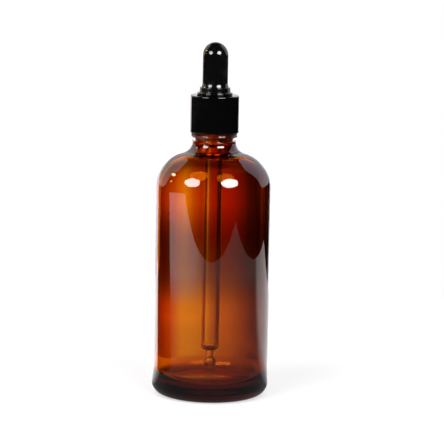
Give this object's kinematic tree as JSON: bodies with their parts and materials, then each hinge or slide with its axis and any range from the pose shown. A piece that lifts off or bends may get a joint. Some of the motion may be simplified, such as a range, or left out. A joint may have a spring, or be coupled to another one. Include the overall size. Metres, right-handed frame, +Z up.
{
  "type": "dropper bottle",
  "caption": "Round amber glass bottle with a screw collar, a squeezable rubber teat and a glass pipette, for storing a liquid and giving it out by the drop.",
  "frame": {"origin": "middle of the base, in the plane that the bottle stands on", "axes": "+Z up along the bottle's axis, towards the teat; every piece is round about it"},
  "size_m": [0.045, 0.045, 0.1361],
  "materials": {
    "amber_glass": "polished amber container glass",
    "collar_plastic": "smooth glossy black moulding",
    "teat_rubber": "smooth black rubber with a soft sheen",
    "clear_glass": "clear drawn glass tube, fire-polished"
  },
  "bodies": {
    "bottle": {"bottle": "amber_glass"},
    "dropper": {"teat": "teat_rubber", "pipette": "clear_glass"},
    "collar": {"collar": "collar_plastic"}
  },
  "joints": [
    {"name": "dropper_lift", "type": "slide", "parent": "bottle", "child": "dropper", "axis": [0, 0, 1], "range_m": [0, 0.11]},
    {"name": "collar_turn", "type": "hinge", "parent": "dropper", "child": "collar", "pos_m": [0, 0, 0.11], "axis": [0, 0, 1], "range_deg": [0, 720]}
  ]
}
